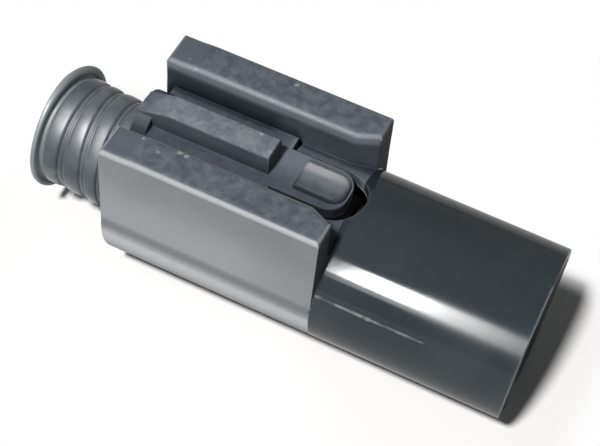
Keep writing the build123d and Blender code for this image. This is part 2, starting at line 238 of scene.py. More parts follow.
def lamp(name, direction, size, radiance, seen_in_gloss=True):
    """Add a rectangular or round lamp that faces the part, with this brightness of its face."""
    data = bpy.data.lights.new(name, "AREA")
    data.shape = "RECTANGLE" if size[0] != size[1] else "DISK"
    data.size, data.size_y = size
    area = size[0] * size[1] * (1 if data.shape == "RECTANGLE" else math.pi / 4)
    data.energy = math.pi * area * radiance
    light = bpy.data.objects.new(name, data)
    toward = Vector(direction).normalized()
    light.location = TARGET + toward * LAMP_DISTANCE
    light.rotation_mode = "QUATERNION"
    light.rotation_quaternion = toward.to_track_quat("Z", "Y")
    light.visible_glossy = seen_in_gloss
    bpy.context.scene.collection.objects.link(light)
    share = area * radiance / LAMP_DISTANCE**2 / math.pi
    print(name, "gives", round(share, 3), "of a white level")
    return light


lamp("overhead_lamp", OVERHEAD, (0.045, 0.045), 285, seen_in_gloss=False)
window_panes = (
    lamp("side_window", (-0.096, *SIDE), (0.034, 0.14), 70),
    lamp("side_window_edge", (-0.024, *SIDE), (0.027, 0.17), 15),
    lamp("side_window_sill", (-0.09, -0.88, 0.36), (0.05, 0.04), 7),
)
kept_from_window = bpy.data.collections.new("kept_from_window")
kept_from_window.objects.link(floor)
kept_from_window.collection_objects[0].light_linking.link_state = "EXCLUDE"
for pane in window_panes:
    pane.light_linking.receiver_collection = kept_from_window

seal_gleam = lamp("seal_gleam", (-0.16, -0.5, 1.0), (0.3, 0.3), 34)
seal_gleam.visible_diffuse = False
gleams_on = bpy.data.collections.new("gleams_on")
seal_gleam.light_linking.receiver_collection = gleams_on

# %% [markdown]
# Effects that several finishes share are node groups. Each group only gives masks and heights,
# and each material mixes them with its own colours. The first one is the skin that a
# spark-eroded mould leaves: soft patches, with small specks here and there. Noise makes the
# patches, and a few cells picked from a Voronoi pattern make the specks.

# %% Group: eroded mottle
def new_group(name, inputs, outputs):
    """Return a node group with these float inputs and outputs, and its in and out nodes."""
    group = bpy.data.node_groups.new(name, "ShaderNodeTree")
    for label, value in inputs.items():
        socket = group.interface.new_socket(label, in_out="INPUT", socket_type="NodeSocketFloat")
        socket.default_value = value
    for label in outputs:
        group.interface.new_socket(label, in_out="OUTPUT", socket_type="NodeSocketFloat")
    return group, group.nodes.new("NodeGroupInput"), group.nodes.new("NodeGroupOutput")


PATCH_LOW, PATCH_HIGH = 0.28, 0.74
SPECK_CORE, SPECK_EDGE = 0.05, 0.24
RARE_FROM, RARE_FULL = 0.8, 0.93
mottle_group, entry, end = new_group(
    "eroded_mottle", {"Patches per metre": 900.0, "Specks per metre": 420.0}, ("Patches", "Specks")
)
tree = mottle_group
place = add_node(tree, "TexCoord").outputs["Object"]
patches = add_node(
    tree,
    "TexNoise",
    {"Vector": place, "Scale": entry.outputs["Patches per metre"], "Detail": 3, "Roughness": 0.62},
)
tree.links.new(ramp(tree, patches.outputs["Fac"], PATCH_LOW, PATCH_HIGH), end.inputs["Patches"])
cells = add_node(
    tree, "TexVoronoi", {"Vector": place, "Scale": entry.outputs["Specks per metre"]}
)
speck = ramp(tree, cells.outputs["Distance"], SPECK_CORE, SPECK_EDGE, 1, 0)
cell_number = add_node(tree, "SeparateColor", {"Color": cells.outputs["Color"]}).outputs["Red"]
rare = ramp(tree, cell_number, RARE_FROM, RARE_FULL)
tree.links.new(product(tree, speck, rare), end.inputs["Specks"])
print("Mottle group:", len(tree.nodes), "nodes")

# %% [markdown]
# Fine grain is felt more than seen, so it only feeds the bump. Smudges are broader and softer:
# they vary the colour and the gloss, as handling does.

# %% Groups: grain and smudges
grain_group, entry, end = new_group("fine_grain", {"Grains per metre": 9000.0}, ("Height",))
tree = grain_group
place = add_node(tree, "TexCoord").outputs["Object"]
grain = add_node(
    tree,
    "TexNoise",
    {"Vector": place, "Scale": entry.outputs["Grains per metre"], "Detail": 2, "Roughness": 0.7},
)
tree.links.new(grain.outputs["Fac"], end.inputs["Height"])

SMUDGE_LOW, SMUDGE_HIGH = 0.3, 0.7
smudge_group, entry, end = new_group("soft_smudge", {"Smudges per metre": 160.0}, ("Amount",))
tree = smudge_group
place = add_node(tree, "TexCoord").outputs["Object"]
smudge = add_node(
    tree,
    "TexNoise",
    {"Vector": place, "Scale": entry.outputs["Smudges per metre"], "Detail": 4, "Distortion": 0.4},
)
tree.links.new(ramp(tree, smudge.outputs["Fac"], SMUDGE_LOW, SMUDGE_HIGH), end.inputs["Amount"])
print("Grain and smudge groups made")

# %% [markdown]
# A nick or a stain is one small mark at one place. The group measures how far a point is from
# the mark's middle, and a little noise keeps its rim from being a perfect circle.

# %% Group: small mark
WOBBLES_PER_METRE = 2500.0
mark_group, entry, end = new_group(
    "small_mark",
    {"X": 0.0, "Y": 0.0, "Z": 0.0, "Radius": 0.2 * MM, "Softness": 0.1 * MM},
    ("Mask",),
)
tree = mark_group
place = add_node(tree, "TexCoord").outputs["Object"]
wobble = add_node(tree, "TexNoise", {"Vector": place, "Scale": WOBBLES_PER_METRE, "Detail": 2})
centre = add_node(tree, "CombineXYZ", {axis: entry.outputs[axis] for axis in "XYZ"})
away = add_node(tree, "VectorMath", {0: place, 1: centre.outputs[0]}, operation="DISTANCE")
radius = entry.outputs["Radius"]
uneven = product(tree, maths(tree, "SUBTRACT", wobble.outputs["Fac"], 0.5), radius)
inside = maths(tree, "SUBTRACT", radius, maths(tree, "ADD", away.outputs["Value"], uneven))
share = maths(tree, "DIVIDE", inside, entry.outputs["Softness"])
tree.links.new(ramp(tree, share, 0, 1), end.inputs["Mask"])
print("Mark group:", len(tree.nodes), "nodes")

# %% [markdown]
# Edges are rubbed paler by hands and by the other half of the connector. The Bevel node gives the
# normal that a rounded edge would have, so where it differs from the true one, an edge is near.

# %% Group: edge rub
RUB_STARTS, RUB_FULL = 0.995, 0.86
rub_group, entry, end = new_group("edge_rub", {"Width": 0.35 * MM}, ("Mask",))
tree = rub_group
rounded = add_node(tree, "Bevel", {"Radius": entry.outputs["Width"]}, samples=6)
true_normal = add_node(tree, "NewGeometry").outputs["Normal"]
agreement = add_node(
    tree, "VectorMath", {0: rounded.outputs["Normal"], 1: true_normal}, operation="DOT_PRODUCT"
)
tree.links.new(ramp(tree, agreement.outputs["Value"], RUB_STARTS, RUB_FULL), end.inputs["Mask"])
print("Node groups:", [group.name for group in bpy.data.node_groups])

# %% [markdown]
# A material places the groups that it needs, each with its own values, and then paints one shade
# over another by a mask, from the plain skin up to the smallest mark. Bumps are stacked too.

# %% Helpers for finishes
def group_node(tree, group, **values):
    """Place a shared group in a material, with values for its inputs in their order."""
    node = tree.nodes.new("ShaderNodeGroup")
    node.node_tree = group
    for socket, value in zip(node.inputs, values.values()):
        socket.default_value = value
    return node


def blend(tree, mask, first, second):
    """Mix two colours by a mask."""
    node = tree.nodes.new("ShaderNodeMix")
    node.data_type = "RGBA"
    sockets = [node.inputs["Factor"], *(s for s in node.inputs if s.type == "RGBA")]
    for socket, value in zip(sockets, (mask, first, second)):
        if isinstance(value, bpy.types.NodeSocket):
            tree.links.new(value, socket)
        else:
            socket.default_value = (*value, 1) if isinstance(value, tuple) else value
    return next(output for output in node.outputs if output.type == "RGBA")


def painted(tree, below, mask, strength, shade):
    """Lay a shade over a colour, where the mask is, and as thickly as the strength says."""
    return blend(tree, maths(tree, "MULTIPLY", mask, strength), below, shade)


def marked(tree, below, marks, soft, strength):
    """Paint small marks, each given by its middle and radius in millimetres and its shade."""
    for x, y, z, size, shade in marks:
        mark = group_node(
            tree, mark_group, x=x * MM, y=y * MM, z=z * MM, radius=size * MM, softness=soft * MM
        )
        below = painted(tree, below, mark.outputs["Mask"], strength, shade)
    return below


def bumped(tree, height, distance, strength, below=None):
    """Return a normal bent by a height map."""
    inputs = {"Height": height, "Distance": distance, "Strength": strength}
    if below is not None:
        inputs["Normal"] = below
    return add_node(tree, "Bump", inputs).outputs["Normal"]


def close_material(tree, **sockets):
    """Give the tree its surface, with these values or links for the shader's sockets."""
    inputs = {key.replace("_", " "): value for key, value in sockets.items()}
    skin = add_node(tree, "BsdfPrincipled", inputs)
    add_node(tree, "OutputMaterial", {"Surface": skin.outputs[0]})


# %% [markdown]
# The guard walls, the belly and the lever come from a spark-eroded mould: a satin, slate-grey
# skin. One material does it all. It tells a top from a side by the surface's own direction, and
# an outer side from an inner one by its place, so the first cell only measures those. X counts
# back from the hood's mouth, Y out from the middle and Z up from the axis, in metres, so every
# place is written in millimetres times MM.

# %% Satin plastic: where things are
TOPS_FROM, TOPS_FULL = 9.2 * MM, 9.9 * MM
LOW_FROM, LOW_FULL = 9.6 * MM, 8.9 * MM
WALL_INNER_Y, WALL_OUTER_Y = 4.0 * MM, 6.4 * MM

satin = new_material("plastic_satin")
tree = satin.node_tree
mottle = group_node(tree, mottle_group, patches=1150.0, specks=600.0)
grain = group_node(tree, grain_group, grains=9000.0)
smudge = group_node(tree, smudge_group, smudges=160.0)
rub = group_node(tree, rub_group, width=0.3 * MM)
patches, smudges = mottle.outputs["Patches"], smudge.outputs["Amount"]
at_x, at_y, at_z = place_on(tree)
direction = add_node(
    tree, "SeparateXYZ", {"Vector": add_node(tree, "NewGeometry").outputs["Normal"]}
)
faces_up = direction.outputs["Z"]
faces_front = ramp(tree, direction.outputs["X"], 0.75, 0.95)
faces_side = ramp(tree, maths(tree, "ABSOLUTE", direction.outputs["Y"]), 0.4, 0.85)
out_y = maths(tree, "ABSOLUTE", at_y)
high = ramp(tree, at_z, TOPS_FROM, TOPS_FULL)
low = ramp(tree, at_z, LOW_FROM, LOW_FULL)
is_top = product(tree, ramp(tree, faces_up, 0.86, 0.98), high)
is_outer = ramp(tree, out_y, WALL_OUTER_Y - 0.5 * MM, WALL_OUTER_Y + 0.5 * MM)
is_side = product(tree, faces_side, is_outer)
at_wall = ramp(tree, out_y, WALL_INNER_Y - 0.05 * MM, WALL_INNER_Y + 0.05 * MM)
on_wall = product(tree, at_wall, high)
far_half = ramp(tree, at_y, -1 * MM, 1 * MM)
print("Satin plastic measures with", len(tree.nodes), "nodes")

# %% [markdown]
# The tops of the guard walls and of the grip rib are mottled. The rib is paler, because a thumb
# works on it, and the rear ends of the walls are plainer.

# %% Satin plastic: tops
TOP_DARK, TOP_PALE = (0.058, 0.071, 0.088), (0.117, 0.129, 0.147)
REAR_DARK, REAR_PALE = (0.072, 0.086, 0.106), (0.086, 0.1, 0.12)
RIB_DARK, RIB_PALE = (0.125, 0.14, 0.16), (0.215, 0.23, 0.25)
EDGE_WEAR_AND_HIGHLIGHT, NEAR_EDGE_HIGHLIGHT = (0.2, 0.218, 0.238), (0.285, 0.3, 0.31)

top = blend(tree, patches, TOP_DARK, TOP_PALE)
rear_top = blend(tree, smudges, REAR_DARK, REAR_PALE)
rib_top = blend(tree, patches, RIB_DARK, RIB_PALE)
top = painted(tree, top, ramp(tree, at_x, -34.9 * MM, -36.3 * MM), 0.8, rear_top)
top = painted(tree, top, ramp(tree, out_y, 3.0 * MM, 2.6 * MM), 0.75, rib_top)
# Rubbed wear and painted highlight: the outer edges of the tops are painted paler.
top = painted(tree, top, ramp(tree, out_y, 6.9 * MM, 7.6 * MM), 0.35, EDGE_WEAR_AND_HIGHLIGHT)
print("Tops go from", TOP_DARK, "to", TOP_PALE)

# %% [markdown]
# Between the walls the colour carries painted shade: the channel's upright faces and the lower
# part of its inner walls are darker than its floor, and the gaps beside the lever are darkest.
# Round the lever's head the far side is painted paler, as painted light. Through the window
# under the head, the hood's inside shows.

# %% Satin plastic: channel
CHANNEL_SHADE, CHANNEL_DEEP_SHADE = (0.032, 0.04, 0.049), (0.05, 0.059, 0.07)
LEDGE_DARK, LEDGE_PALE = (0.07, 0.08, 0.102), (0.098, 0.109, 0.133)
GAP_SHADE, HEAD_SURROUND_LIGHT = (0.014, 0.019, 0.025), (0.14, 0.152, 0.175)
WALL_DARK, WALL_PALE = (0.1, 0.115, 0.13), (0.13, 0.145, 0.16)

# Painted shade on the channel's upright faces.
channel_shade = blend(tree, smudges, CHANNEL_SHADE, CHANNEL_DEEP_SHADE)
ledge = blend(tree, patches, LEDGE_DARK, LEDGE_PALE)
channel = blend(tree, ramp(tree, faces_up, 0.8, 0.97), channel_shade, ledge)
head_surround_light_mask = product(
    tree,
    band(tree, at_x, -26.5 * MM, -25.0 * MM, -18.0 * MM, -16.5 * MM),
    low,
    band(tree, at_y, -1.2 * MM, 1.0 * MM, 3.2 * MM, 3.6 * MM),
)
gap_shade_mask = product(
    tree,
    ramp(tree, out_y, 2.9 * MM, 3.4 * MM),
    ramp(tree, out_y, 5.6 * MM, 5.2 * MM),
    low,
    ramp(tree, at_x, -26.0 * MM, -28.0 * MM),
)
# Painted light beside the head, then painted shade in the gaps.
channel = painted(tree, channel, head_surround_light_mask, 0.7, HEAD_SURROUND_LIGHT)
channel = painted(tree, channel, gap_shade_mask, 0.8, GAP_SHADE)
inner_wall = product(tree, on_wall, ramp(tree, at_z, 9.0 * MM, 9.9 * MM))
channel = blend(tree, inner_wall, channel, blend(tree, smudges, WALL_DARK, WALL_PALE))
print("Channel goes from", GAP_SHADE, "to", HEAD_SURROUND_LIGHT)

# %% [markdown]
# The outer sides and the belly are painted paler and plainer than the tops, partly as a rubbed
# finish and partly as painted light, and paler still towards the bottom as painted light from the
# table. Towards the front they are darker. Along the belly's widest line a pale band is a painted
# reflection of the table, and just above it a painted shade marks where the flat side meets the
# round belly.

# %% Satin plastic: outer sides
SIDE_LIT_HIGH, SIDE_LIT_LOW = (0.143, 0.151, 0.16), (0.222, 0.232, 0.245)
SIDE_FRONT, SIDE_SMUDGED = (0.125, 0.132, 0.14), (0.24, 0.25, 0.26)
CREASE_PAINTED_SHADE, BELLY_PAINTED_REFLECTION = (0.1, 0.108, 0.118), (0.4, 0.42, 0.43)

crease_shade_mask = band(tree, at_z, 0.2 * MM, 0.8 * MM, 1.2 * MM, 2.0 * MM)
belly_reflection_mask = band(tree, at_z, -3.2 * MM, -1.2 * MM, -0.5 * MM, 0.3 * MM)
# Painted light: paler towards the bottom.
side = blend(tree, ramp(tree, at_z, 9.8 * MM, 3.0 * MM), SIDE_LIT_HIGH, SIDE_LIT_LOW)
side = painted(tree, side, ramp(tree, at_x, -27 * MM, -18 * MM), 0.45, SIDE_FRONT)
side = painted(tree, side, smudges, 0.25, SIDE_SMUDGED)
# Painted shade along the crease, and a painted reflection along the belly.
side = painted(tree, side, crease_shade_mask, 0.75, CREASE_PAINTED_SHADE)
side = painted(tree, side, belly_reflection_mask, 0.8, BELLY_PAINTED_REFLECTION)
colour = blend(tree, is_side, channel, side)
colour = blend(tree, is_top, colour, top)
print("Sides go from", SIDE_LIT_HIGH, "to", SIDE_LIT_LOW)

# %% [markdown]
# Edges that turn from a top to a side are painted paler, the near ones more than the far ones:
# this is a painted highlight on the edges that face the window, over some real rubbing. The faces
# that look out over the hood are painted with shade.

# %% Satin plastic: edges
FRONT_PAINTED_SHADE = (0.05, 0.056, 0.064)
turned_edge = product(tree, band(tree, faces_up, 0.15, 0.45, 0.8, 0.97), on_wall)
# Painted highlight: stronger on the near edges, which face the window.
edge_highlight_strength = ramp(tree, at_y, -1 * MM, 1 * MM, 0.85, 0.45)
edge_highlight_shade = blend(tree, far_half, NEAR_EDGE_HIGHLIGHT, EDGE_WEAR_AND_HIGHLIGHT)
colour = painted(tree, colour, turned_edge, edge_highlight_strength, edge_highlight_shade)
rub_here = product(tree, rub.outputs["Mask"], maths(tree, "MAXIMUM", is_outer, high))
colour = painted(tree, colour, rub_here, 0.4, EDGE_WEAR_AND_HIGHLIGHT)
# Painted shade on the faces that look out over the hood.
colour = painted(tree, colour, faces_front, 0.7, FRONT_PAINTED_SHADE)
print("Edges rubbed to", NEAR_EDGE_HIGHLIGHT)

# %% [markdown]
# The lever's head snaps under the other half. Its far side is painted with a bright streak and a
# softer patch beside it, as painted highlights, and its near side is painted dark as shade.

# %% Satin plastic: head and hood's inside
HEAD_NEAR_SHADE, HEAD_SOFT_HIGHLIGHT, HEAD_HIGHLIGHT = (0.03, 0.036, 0.044), (0.17, 0.182, 0.2), (0.4, 0.405, 0.41)
BORE_PAINTED_LIGHT = (0.3, 0.32, 0.34)
BORE_EDGE, BORE_INNER = 7.1 * MM, 6.9 * MM

is_head = ramp(tree, at_z, 8.2 * MM, 8.5 * MM)
on_head = product(tree, band(tree, at_x, -23.9 * MM, -22.6 * MM, -19.8 * MM, -18.4 * MM), is_head)
head_shade_mask = product(
    tree,
    ramp(tree, at_y, 0.4 * MM, -1.0 * MM),
    is_head,
    ramp(tree, at_x, -24.5 * MM, -23.5 * MM),
    ramp(tree, out_y, 3.6 * MM, 3.3 * MM),
)
head_soft_highlight_mask = product(
    tree,
    band(tree, at_y, -1.6 * MM, -0.1 * MM, 1.0 * MM, 1.9 * MM),
    on_head,
    ramp(tree, patches, -0.6, 0.6),
)
head_highlight_mask = product(
    tree,
    band(tree, at_y, 0.0, 0.75 * MM, 0.95 * MM, 1.5 * MM),
    on_head,
    ramp(tree, smudges, -0.4, 0.7),
)
# Painted shade on the head's near side, painted highlights on its far side.
colour = painted(tree, colour, head_shade_mask, 0.6, HEAD_NEAR_SHADE)
colour = painted(tree, colour, head_soft_highlight_mask, 0.5, HEAD_SOFT_HIGHLIGHT)
colour = painted(tree, colour, head_highlight_mask, 0.7, HEAD_HIGHLIGHT)
# Painted light: the hood's inside is painted pale, so that its shade does not look black.
bore_light_mask = ramp(tree, diagonal(tree, at_y, at_z), BORE_EDGE, BORE_INNER)
bore_light_mask = product(tree, bore_light_mask, ramp(tree, at_x, -25 * MM, -23 * MM))
colour = blend(tree, bore_light_mask, colour, BORE_PAINTED_LIGHT)
print("Head painted with", HEAD_HIGHLIGHT)

# %% [markdown]
# Last come the specks of the tops, a few bright nicks and one broad painted highlight on the
# lever's tail.
# Each mark is its middle in millimetres, its radius and its shade. The patches are a little
# glossier than the rest, and both they and the grain are raised.

# %% Satin plastic: marks and surface
BRIGHT = (0.4, 0.42, 0.43)
NICK = (0.4, 0.43, 0.43)
NICKS = (
    (-35.53, 4.2, 10.6, 0.26, NICK),
    (-36.5, 5.02, 10.6, 0.2, NICK),
    (-26.94, 6.77, 10.75, 0.3, NICK),
    (-27.36, 0.91, 10.1, 0.3, NICK),
    (-32.2, -4.5, 10.75, 0.42, NICK),
    (-31.55, -4.65, 10.75, 0.34, NICK),
    (-35.6, -4.7, 10.7, 0.26, NICK),
    (-33.85, -5.45, 10.75, 0.2, NICK),
    (-25.9, -0.5, 10.1, 0.2, NICK),
)
# A painted highlight on the lever's tail.
TAIL_HIGHLIGHT = ((-38.0, -0.6, 8.6, 0.95, (0.27, 0.27, 0.265)),)

colour = painted(tree, colour, product(tree, mottle.outputs["Specks"], is_top), 0.3, BRIGHT)
colour = marked(tree, colour, NICKS, soft=0.28, strength=0.6)
colour = marked(tree, colour, TAIL_HIGHLIGHT, soft=0.8, strength=0.6)
rough = ramp(tree, patches, 0, 1, 0.5, 0.38)
rough = maths(tree, "MAXIMUM", rough, maths(tree, "MULTIPLY", faces_front, 0.75))
normal = bumped(tree, grain.outputs["Height"], 0.02 * MM, 0.5)
normal = bumped(tree, patches, 0.02 * MM, 0.6, normal)
close_material(tree, Base_Color=colour, Roughness=rough, Normal=normal)
print("Satin plastic:", len(tree.nodes), "nodes,", len(NICKS), "nicks")

# %% [markdown]
# The hood is polished: dark, smooth and glossy. Plugging and unplugging has dulled it a little
# towards its mouth. Its specular level is lower than the usual 0.5, because the polish of
# a moulding is never perfect, and what it mirrors would look too bright. The bore is painted
# paler, as painted light in its shade.

# %% Glossy plastic
HOOD_DARK, HOOD_PALE, HOOD_RUBBED = (0.019, 0.026, 0.031), (0.027, 0.035, 0.041), (0.2, 0.22, 0.24)
gloss = new_material("plastic_gloss")
tree = gloss.node_tree
grain = group_node(tree, grain_group, grains=5000.0)
smudge = group_node(tree, smudge_group, smudges=120.0)
rub = group_node(tree, rub_group, width=0.3 * MM)
at_x, at_y, at_z = place_on(tree)
colour = blend(tree, smudge.outputs["Amount"], HOOD_DARK, HOOD_PALE)
colour = painted(tree, colour, rub.outputs["Mask"], 0.3, HOOD_RUBBED)
# Painted light in the bore.
bore_light_mask = ramp(tree, diagonal(tree, at_y, at_z), BORE_EDGE, BORE_INNER)
bore_light_mask = product(tree, bore_light_mask, ramp(tree, at_x, -13 * MM, -15 * MM))
colour = blend(tree, bore_light_mask, colour, BORE_PAINTED_LIGHT)
wiped = ramp(tree, smudge.outputs["Amount"], 0, 1, -0.015, 0.02)
rough = maths(tree, "ADD", wiped, ramp(tree, at_x, -15 * MM, -5 * MM, 0.09, 0.19))
normal = bumped(tree, grain.outputs["Height"], 0.004 * MM, 0.25)
close_material(
    tree, Base_Color=colour, Roughness=rough, Normal=normal, Specular_IOR_Level=0.36
)
print("Glossy plastic:", len(tree.nodes), "nodes")

# %% [markdown]
# The thin line where the mould's halves met is the same plastic, torn rather than polished, so it
# is greyer and has no shine.

# %% Parting line plastic
BURR_DARK, BURR_PALE = (0.04, 0.047, 0.052), (0.16, 0.17, 0.175)
burr = new_material("parting_plastic")
tree = burr.node_tree
grain = group_node(tree, grain_group, grains=7000.0)
smudge = group_node(tree, smudge_group, smudges=900.0)
colour = blend(tree, smudge.outputs["Amount"], BURR_DARK, BURR_PALE)
normal = bumped(tree, grain.outputs["Height"], 0.01 * MM, 0.4)
close_material(tree, Base_Color=colour, Roughness=0.6, Normal=normal, Specular_IOR_Level=0.25)
print("Parting line plastic:", len(tree.nodes), "nodes")

# %% [markdown]
# Silicone rubber is softer to the eye than plastic: a slate grey with a dull sheen, which the
# Principled shader's Sheen gives. The flange at the rear is painted paler, its lip most of all,
# as painted light. There are two small stains on the flange, and one pale patch near the
# housing is a painted highlight.

# %% Rubber
RUBBER_DARK, RUBBER_PALE, RUBBER_EDGE = (0.075, 0.094, 0.11), (0.17, 0.19, 0.21), (0.4, 0.43, 0.45)
FLANGE_PAINTED_LIGHT, LIP_PAINTED_LIGHT = (0.28, 0.32, 0.34), (0.33, 0.36, 0.38)
FLANGE_MIDDLE_Y, FLANGE_MIDDLE_Z = 0.6 * MM, 0.1 * MM
STAINS_AND_HIGHLIGHT = (
    (-46.25, 1.9, 5.0, 0.3, (0.22, 0.16, 0.12)),
    (-45.95, 1.5, 5.1, 0.22, (0.2, 0.15, 0.12)),
    # A painted highlight, not a stain.
    (-38.95, 1.0, 5.1, 0.75, (0.3, 0.28, 0.26)),
)
rubber = new_material("seal_rubber_soft")
tree = rubber.node_tree
grain = group_node(tree, grain_group, grains=6000.0)
smudge = group_node(tree, smudge_group, smudges=380.0)
rub = group_node(tree, rub_group, width=0.2 * MM)
at_x, at_y, at_z = place_on(tree)
colour = blend(tree, smudge.outputs["Amount"], RUBBER_DARK, RUBBER_PALE)
colour = painted(tree, colour, rub.outputs["Mask"], 0.3, RUBBER_EDGE)
from_middle = diagonal(
    tree,
    maths(tree, "SUBTRACT", at_y, FLANGE_MIDDLE_Y),
    maths(tree, "SUBTRACT", at_z, FLANGE_MIDDLE_Z),
)
at_flange = ramp(tree, at_x, -46.25 * MM, -46.5 * MM)
lit_lip_mask = product(tree, ramp(tree, from_middle, 5.1 * MM, 5.5 * MM), at_flange)
# Painted light on the flange and its lip.
colour = painted(tree, colour, at_flange, 0.8, FLANGE_PAINTED_LIGHT)
colour = painted(tree, colour, lit_lip_mask, 0.8, LIP_PAINTED_LIGHT)
colour = marked(tree, colour, STAINS_AND_HIGHLIGHT, soft=0.3, strength=0.7)
rough = ramp(tree, smudge.outputs["Amount"], 0, 1, 0.52, 0.4)
normal = bumped(tree, grain.outputs["Height"], 0.015 * MM, 0.4)
close_material(
    tree,
    Base_Color=colour,
    Roughness=rough,
    Normal=normal,
    Sheen_Weight=0.4,
    Sheen_Roughness=0.35,
)
print("Rubber:", len(tree.nodes), "nodes,", len(STAINS_AND_HIGHLIGHT), "stains")

# %% [markdown]
# The retainer, the rolled brass contact and its steel sleeve sit inside the hood. They get
# finishes of their own, because a library part is looked at from its front too. Brass and steel
# are strip metal, so one function makes both: its noise is stretched along the part by a Mapping
# node, which draws it out into rolling lines.

# %% Retainer, brass and steel
CAP_DARK, CAP_PALE, CAP_RUBBED = (0.045, 0.05, 0.055), (0.06, 0.066, 0.072), (0.22, 0.24, 0.25)
moulded = new_material("retainer_plastic_plain")
tree = moulded.node_tree
grain = group_node(tree, grain_group, grains=7000.0)
smudge = group_node(tree, smudge_group, smudges=240.0)
rub = group_node(tree, rub_group, width=0.2 * MM)
colour = blend(tree, smudge.outputs["Amount"], CAP_DARK, CAP_PALE)
colour = painted(tree, colour, rub.outputs["Mask"], 0.4, CAP_RUBBED)
rough = ramp(tree, smudge.outputs["Amount"], 0, 1, 0.32, 0.45)
normal = bumped(tree, grain.outputs["Height"], 0.01 * MM, 0.4)
close_material(tree, Base_Color=colour, Roughness=rough, Normal=normal)


def rolled_metal(name, dark, pale, rough_low, rough_high):
    """Return a bright strip metal, with rolling lines along its length."""
    material = new_material(name)
    tree = material.node_tree
    place = add_node(tree, "TexCoord").outputs["Object"]
    stretched = add_node(tree, "Mapping", {"Vector": place, "Scale": (0.06, 1, 1)})
    lines = add_node(
        tree,
        "TexNoise",
        {"Vector": stretched.outputs[0], "Scale": 9000.0, "Detail": 2, "Roughness": 0.6},
    )
    smudge = group_node(tree, smudge_group, smudges=420.0)
    rub = group_node(tree, rub_group, width=0.15 * MM)
    colour = blend(tree, smudge.outputs["Amount"], dark, pale)
    bright = tuple(min(1, v * 1.25) for v in pale)
    colour = painted(tree, colour, rub.outputs["Mask"], 0.5, bright)
    rough = ramp(tree, smudge.outputs["Amount"], 0, 1, rough_low, rough_high)
    normal = bumped(tree, lines.outputs["Fac"], 0.004 * MM, 0.5)
    close_material(tree, Base_Color=colour, Roughness=rough, Normal=normal, Metallic=1.0)
    return material


brass = rolled_metal("rolled_brass", (0.6, 0.48, 0.26), (0.74, 0.62, 0.38), 0.24, 0.36)
steel = rolled_metal("rolled_steel", (0.5, 0.5, 0.5), (0.62, 0.62, 0.63), 0.2, 0.3)
print("Materials:", sorted(material.name for material in bpy.data.materials if material.use_nodes))

# %% [markdown]
# The hard pieces keep the shape that the CAD gives them. A moulded edge is never knife-sharp,
# so each is a copy of the CAD mesh, merged into one skin, with a small bevel run round every
# sharp edge. The bevel catches the light as a real edge does. The merging also takes out slivers
# that are thinner than the bevel, which would fold it over.

# %% Helpers for pieces
SAME_PLACE = 0.002 * MM
SLIVER = 0.03 * MM
FLAT_WITHIN = math.radians(0.4)
SHARPER_THAN = math.radians(50)
BAND_LAYER = "edge_band"


def merged_copy(node):
    """Return the CAD node's mesh as one closed skin, with flat faces joined."""
    bm = bmesh.new()
    bm.from_mesh(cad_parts[node].data)
    bmesh.ops.remove_doubles(bm, verts=bm.verts, dist=SAME_PLACE)
    bmesh.ops.dissolve_degenerate(bm, edges=bm.edges, dist=SLIVER)
    bmesh.ops.dissolve_limit(bm, angle_limit=FLAT_WITHIN, verts=bm.verts, edges=bm.edges)
    bm.faces.layers.int.new(BAND_LAYER)
    return bm


def soften_edges(bm, width, chosen=lambda edge: True):
    """Bevel every sharp edge that is chosen, mark the bevels, and return how many edges."""
    sharp = [
        edge
        for edge in bm.edges
        if len(edge.link_faces) == 2
        and edge.calc_face_angle() > SHARPER_THAN
        and chosen(edge)
    ]
    made = bmesh.ops.bevel(
        bm,
        geom=sharp,
        offset=width,
        offset_type="OFFSET",
        segments=2,
        affect="EDGES",
        profile=0.5,
        clamp_overlap=False,
        material=-1,
    )
    edge_band = bm.faces.layers.int[BAND_LAYER]
    for face in made["faces"]:
        face[edge_band] = 1
    return len(sharp)


# %% [markdown]
# A mesh only knows its faces, so smooth shading would average a wide face with a narrow bevel and
# leave streaks. The corner normals are worked out instead: exact on flat faces and on strips
# turned round the connector's axis, and blended across the bevels. The mesh then carries them as
# its own, with no modifier.

# %% Helpers for shading
TURNED_LENGTH, TURNED_WITHIN = 0.02, 0.9995
STRIP_HALF_ANGLE = math.radians(10)
SAME_SURFACE = math.cos(math.radians(34))
NO_LENGTH = 1e-9


def radial(point):
    """Return the direction from the connector's axis to a point."""
    return Vector((0, point.y, point.z)).normalized()


def is_turned(face):
    """Tell whether a face is a strip of a surface turned round the connector's axis."""
    middle = radial(face.calc_center_median())
    flat = Vector((0, face.normal.y, face.normal.z))
    if flat.length < TURNED_LENGTH or abs(flat.normalized().dot(middle)) < TURNED_WITHIN:
        return False
    return all(radial(vert.co).dot(middle) > math.cos(STRIP_HALF_ANGLE) for vert in face.verts)


def main_normal(vert, face, edge_band, turned):
    """Return the normal at a corner of a wide face, from the faces that it runs on into."""
    near = [
        other
        for other in vert.link_faces
        if not other[edge_band] and other.normal.dot(face.normal) > SAME_SURFACE
    ]
    if turned[face]:
        along, outward = 0.0, 0.0
        for other in near:
            if turned[other]:
                along += other.normal.x
                outward += other.normal.dot(radial(other.calc_center_median()))
        result = Vector((along, 0, 0)) + outward * radial(vert.co)
    else:
        result = Vector()
        for other in near:
            if not turned[other]:
                corner = next(loop for loop in other.loops if loop.vert == vert)
                result += other.normal * corner.calc_angle()
    return result.normalized() if result.length > NO_LENGTH else face.normal


